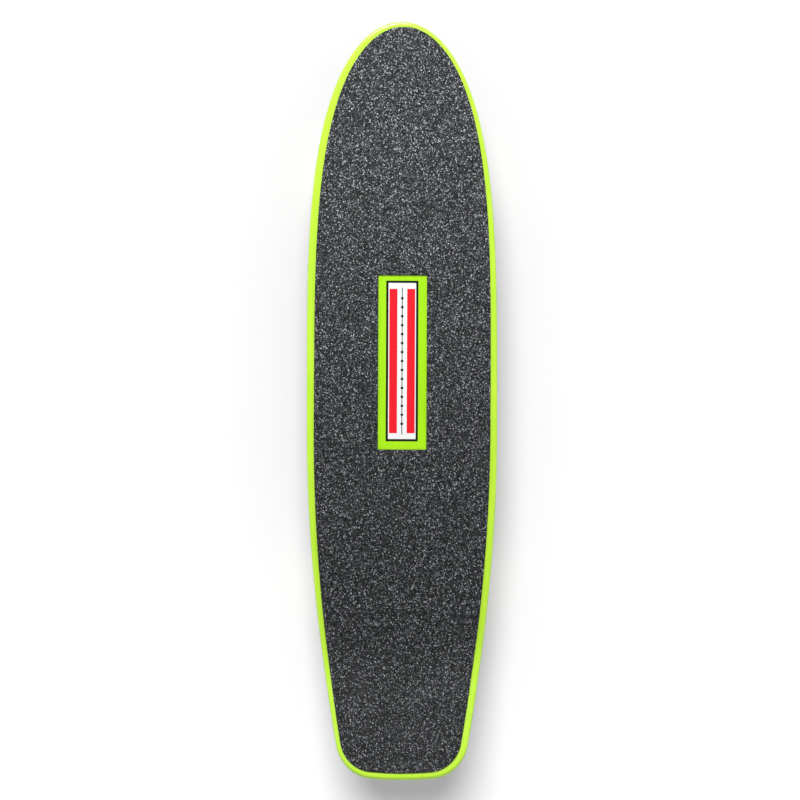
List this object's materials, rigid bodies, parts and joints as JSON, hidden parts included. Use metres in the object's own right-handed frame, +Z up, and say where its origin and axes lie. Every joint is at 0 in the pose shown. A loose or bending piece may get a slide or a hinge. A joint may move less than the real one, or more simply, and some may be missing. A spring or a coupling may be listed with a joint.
{
  "type": "skateboard",
  "caption": "Cambered skateboard with a kicked tail, rounded nose, windowed grip sheet, sprung steering trucks and soft wheels on ball bearings.",
  "frame": {"origin": "on the ground, under the middle of the deck's length, in its middle plane", "axes": "+X to the nose, +Y to the rider's left, +Z up"},
  "size_m": [0.7628, 0.192, 0.1325],
  "materials": {
    "lime_laminate": "gloss",
    "black_laminate": "gloss",
    "wood_core": "satin",
    "black_grit": "matte",
    "black_riser": "satin",
    "cast_aluminium": "satin",
    "zinc_steel": "satin",
    "black_steel": "satin",
    "bearing_steel": "polished",
    "cream_urethane": "satin",
    "amber_urethane": "satin",
    "white_cup": "satin"
  },
  "bodies": {
    "board": {"deck_core": "wood_core", "deck_top_laminate": "lime_laminate", "deck_bottom_laminate": "black_laminate", "grip_sheet": "black_grit", "front_riser_pad": "black_riser", "front_base_plate": "cast_aluminium", "front_pivot_cup": "white_cup", "front_kingpin": "zinc_steel", "front_kingpin_nut": "zinc_steel", "front_board_side_washer": "zinc_steel", "front_road_side_washer": "zinc_steel", "front_board_side_bushing": "amber_urethane", "front_road_side_bushing": "amber_urethane", "front_mounting_bolt_1": "black_steel", "front_mounting_bolt_2": "black_steel", "front_mounting_bolt_3": "black_steel", "front_mounting_bolt_4": "black_steel", "rear_riser_pad": "black_riser", "rear_base_plate": "cast_aluminium", "rear_pivot_cup": "white_cup", "rear_kingpin": "zinc_steel", "rear_kingpin_nut": "zinc_steel", "rear_board_side_washer": "zinc_steel", "rear_road_side_washer": "zinc_steel", "rear_board_side_bushing": "amber_urethane", "rear_road_side_bushing": "amber_urethane", "rear_mounting_bolt_1": "black_steel", "rear_mounting_bolt_2": "black_steel", "rear_mounting_bolt_3": "black_steel", "rear_mounting_bolt_4": "black_steel"},
    "front_hanger_set": {"front_hanger": "cast_aluminium", "front_axle": "bearing_steel", "front_left_axle_nut": "zinc_steel", "front_left_outboard_inner_race": "bearing_steel", "front_left_inboard_inner_race": "bearing_steel", "front_right_axle_nut": "zinc_steel", "front_right_outboard_inner_race": "bearing_steel", "front_right_inboard_inner_race": "bearing_steel"},
    "rear_hanger_set": {"rear_hanger": "cast_aluminium", "rear_axle": "bearing_steel", "rear_left_axle_nut": "zinc_steel", "rear_left_outboard_inner_race": "bearing_steel", "rear_left_inboard_inner_race": "bearing_steel", "rear_right_axle_nut": "zinc_steel", "rear_right_outboard_inner_race": "bearing_steel", "rear_right_inboard_inner_race": "bearing_steel"},
    "front_left_wheel_set": {"front_left_wheel": "cream_urethane", "front_left_outboard_outer_race": "bearing_steel", "front_left_inboard_outer_race": "bearing_steel"},
    "front_right_wheel_set": {"front_right_wheel": "cream_urethane", "front_right_outboard_outer_race": "bearing_steel", "front_right_inboard_outer_race": "bearing_steel"},
    "rear_left_wheel_set": {"rear_left_wheel": "cream_urethane", "rear_left_outboard_outer_race": "bearing_steel", "rear_left_inboard_outer_race": "bearing_steel"},
    "rear_right_wheel_set": {"rear_right_wheel": "cream_urethane", "rear_right_outboard_outer_race": "bearing_steel", "rear_right_inboard_outer_race": "bearing_steel"}
  },
  "joints": [
    {"name": "front_steer", "type": "hinge", "parent": "board", "child": "front_hanger_set", "pos_m": [0.25892, 0, 0.06842], "axis": [0.8788, 0, 0.4772], "range_deg": [-18, 18], "stiffness_Nm_per_rad": 60, "deforming": ["front_board_side_bushing", "front_road_side_bushing"]},
    {"name": "front_left_spin", "type": "hinge", "parent": "front_hanger_set", "child": "front_left_wheel_set", "pos_m": [0.2278, 0.0603, 0.03085], "axis": [0, 1, 0], "continuous": true},
    {"name": "front_right_spin", "type": "hinge", "parent": "front_hanger_set", "child": "front_right_wheel_set", "pos_m": [0.2278, -0.0603, 0.03085], "axis": [0, 1, 0], "continuous": true},
    {"name": "rear_steer", "type": "hinge", "parent": "board", "child": "rear_hanger_set", "pos_m": [-0.21892, 0, 0.06842], "axis": [-0.8788, 0, 0.4772], "range_deg": [-18, 18], "stiffness_Nm_per_rad": 60, "deforming": ["rear_board_side_bushing", "rear_road_side_bushing"]},
    {"name": "rear_left_spin", "type": "hinge", "parent": "rear_hanger_set", "child": "rear_left_wheel_set", "pos_m": [-0.1878, 0.0603, 0.03085], "axis": [0, 1, 0], "continuous": true},
    {"name": "rear_right_spin", "type": "hinge", "parent": "rear_hanger_set", "child": "rear_right_wheel_set", "pos_m": [-0.1878, -0.0603, 0.03085], "axis": [0, 1, 0], "continuous": true}
  ]
}
